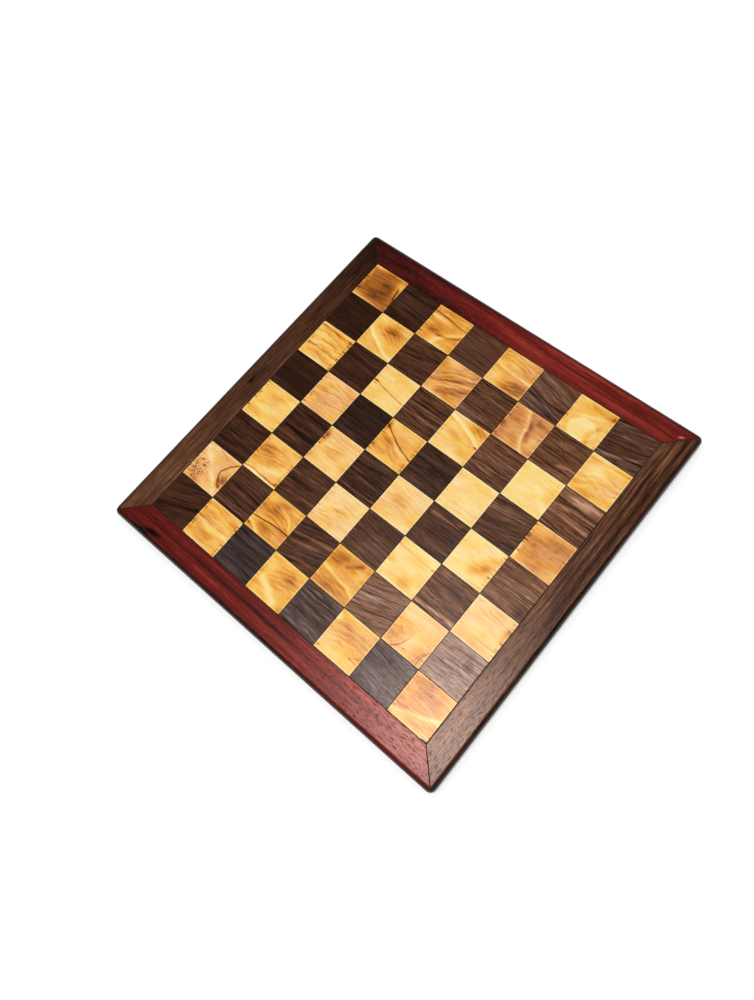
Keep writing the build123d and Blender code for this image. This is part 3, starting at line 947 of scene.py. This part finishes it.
def dress_squares(letter, light):
    """A copy of the blocks of one colour in one file, each block with its own wood."""
    colour = "light" if light else "dark"
    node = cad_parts[f"{colour}_squares_file_{letter}"]
    mesh = node.data.copy()
    mesh.materials.clear()
    piece = bpy.data.objects.new(f"{colour}_blocks_{letter}", mesh)
    bpy.context.scene.collection.objects.link(piece)
    if light:
        mesh = tear_edges(piece, letter)
    squares = [letter + rank for rank in RANKS if (letter + rank in LIGHT_FIGURE_AND_HIGHLIGHTS) == light]
    for square in squares:
        mesh.materials.append(light_wood(square) if light else dark_wood(square))
    centres = [field_low.y + (RANKS.index(square[1]) + 0.5) * SQUARE for square in squares]
    for polygon in mesh.polygons:
        away = [abs(polygon.center.y - centre) for centre in centres]
        polygon.material_index = away.index(min(away))
    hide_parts(node.name)
    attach(piece, "root")
    return piece


for letter in FILES:
    dress_squares(letter, True)
    dress_squares(letter, False)

dress("rail_back", red_rail("red_wood_back", seed=11.0, ground=0.46, figure_and_light=BACK_FIGURE))
dress("rail_front", red_rail("red_wood_front", seed=37.0, ground=0.42, figure_and_light=FRONT_FIGURE_AND_SHEEN))
dress("rail_left", brown_rail(
    "walnut_left", seed=5.0, ground=UMBER, cool=0.1, pitch=2.4, contrast=0.7, figure_and_light=LEFT_FIGURE,
    glue_width=0.7))
dress("rail_right", brown_rail(
    "walnut_right", seed=23.0, ground=WALNUT, cool=0.0, pitch=2.4, contrast=0.9, figure_and_light=RIGHT_FIGURE_AND_SHEEN,
    glue_width=1.3))
plywood = plain_wood("plywood", rgb(200, 168, 120), rgb(160, 120, 76))
beech = plain_wood("beech", rgb(206, 164, 122), rgb(182, 136, 96))
felt_material = felt()
for side in ("front", "back", "left", "right"):
    dress(f"spline_{side}", plywood)
for corner in ("front_left", "front_right", "back_left", "back_right"):
    dress(f"mitre_key_{corner}", beech)
    dress(f"foot_{corner}", felt_material)


# Stage

CAMERA_PLACE = Vector((237.8, -183.2, 761.2)) * MM
CAMERA_TURN = (19.59, 6.75, 40.27)
FOCAL_PX = 721.0
FRAME_HEIGHT_PX = 1000
HAZE_CENTRE = Vector((214, -186)) * MM  # where the lamp is mirrored in the lacquer
LAMP_HEIGHT = 2.2
LAMP_SIZE = 0.5
LAMP_POWER = 30.0
FILL = 0.36
CEILING = 0.02  # how bright the ceiling is in reflections, where the horizon is 1
CEILING_UP = (0.15, 0.60)  # the upward part of the directions where the horizon ends and the ceiling starts
FLOOR_SIZE = 12.0
FLOOR_DROP = 0.0002  # below the feet
SHADOW_MM = 50.0  # how far from the board the floor is lifted less, so that the shadow shows
SHADOW_LIFT = 0.20
SENSOR_HEIGHT = 36.0


def rays(tree, *kinds):
    """1 for rays of these kinds, and 0 for all others."""
    path = tree.nodes.new("ShaderNodeLightPath")
    seen = Wire(tree, path.outputs[f"Is {kinds[0]} Ray"])
    for kind in kinds[1:]:
        seen = maths(tree, "MAXIMUM", seen, Wire(tree, path.outputs[f"Is {kind} Ray"]))
    return seen


def make_floor():
    """A white floor that keeps the board's shadow: seen directly or mirrored, it is lifted to white."""
    bpy.ops.mesh.primitive_plane_add(size=FLOOR_SIZE, location=(0, 0, -FLOOR_DROP))
    floor = bpy.context.object
    floor.name = "floor"
    material, tree, shader = new_material("floor_white")
    shader.inputs["Base Color"].default_value = (0.85, 0.85, 0.85, 1)
    shader.inputs["Roughness"].default_value = 0.9
    shader.inputs["Specular IOR Level"].default_value = 0.0
    seen = rays(tree, "Camera", "Glossy", "Transmission")
    x, y, _ = position_mm(tree)
    beside = [maths(tree, "MAXIMUM", maths(tree, "ABSOLUTE", value) - OUTER_HALF_MM, 0.0) for value in (x, y)]
    from_board = maths(tree, "SQRT", beside[0] * beside[0] + beside[1] * beside[1])
    lift = smooth(from_board, 0.0, SHADOW_MM, SHADOW_LIFT, 1.0)
    shader.inputs["Emission Color"].default_value = (1, 1, 1, 1)
    plug(tree, seen * lift, shader.inputs["Emission Strength"])
    floor.data.materials.append(material)


def make_world():
    """A soft fill. The camera and reflections see a white horizon under a dim ceiling."""
    world = bpy.data.worlds.new("studio")
    bpy.context.scene.world = world
    world.cycles.sampling_method = "NONE"
    world.use_nodes = True
    tree = world.node_tree
    background = tree.nodes["Background"]
    coordinates = tree.nodes.new("ShaderNodeTexCoord")
    split = tree.nodes.new("ShaderNodeSeparateXYZ")
    tree.links.new(coordinates.outputs["Generated"], split.inputs[0])
    up = Wire(tree, split.outputs["Z"])
    mirrored = rays(tree, "Glossy", "Transmission")
    backdrop = smooth(up, *CEILING_UP, 1.0, CEILING)
    strength = mirrored * backdrop + (1 - mirrored) * FILL
    camera_ray = rays(tree, "Camera")
    strength = camera_ray + (1 - camera_ray) * strength
    background.inputs["Color"].default_value = (1, 1, 1, 1)
    plug(tree, strength, background.inputs["Strength"])


def make_lamp():
    """A soft round lamp that shines straight down, where the camera sees it mirrored at the haze."""
    data = bpy.data.lights.new("ceiling_lamp", "AREA")
    data.shape = "DISK"
    data.size = LAMP_SIZE
    data.energy = LAMP_POWER
    lamp = bpy.data.objects.new("ceiling_lamp", data)
    reach = (LAMP_HEIGHT - TOP) / (CAMERA_PLACE.z - TOP)
    mirrored = HAZE_CENTRE + (HAZE_CENTRE - CAMERA_PLACE.xy) * reach
    lamp.location = (mirrored.x, mirrored.y, LAMP_HEIGHT)
    bpy.context.scene.collection.objects.link(lamp)


def make_camera():
    """The photograph's camera: held above the board's front right corner."""
    data = bpy.data.cameras.new("camera")
    data.sensor_fit = "VERTICAL"
    data.sensor_height = SENSOR_HEIGHT
    data.lens = FOCAL_PX / FRAME_HEIGHT_PX * data.sensor_height
    camera = bpy.data.objects.new("camera", data)
    camera.location = CAMERA_PLACE
    camera.rotation_euler = [math.radians(angle) for angle in CAMERA_TURN]
    bpy.context.scene.collection.objects.link(camera)
    bpy.context.scene.camera = camera


make_floor()
make_world()
make_lamp()
make_camera()
bpy.context.scene.view_settings.view_transform = "Standard"
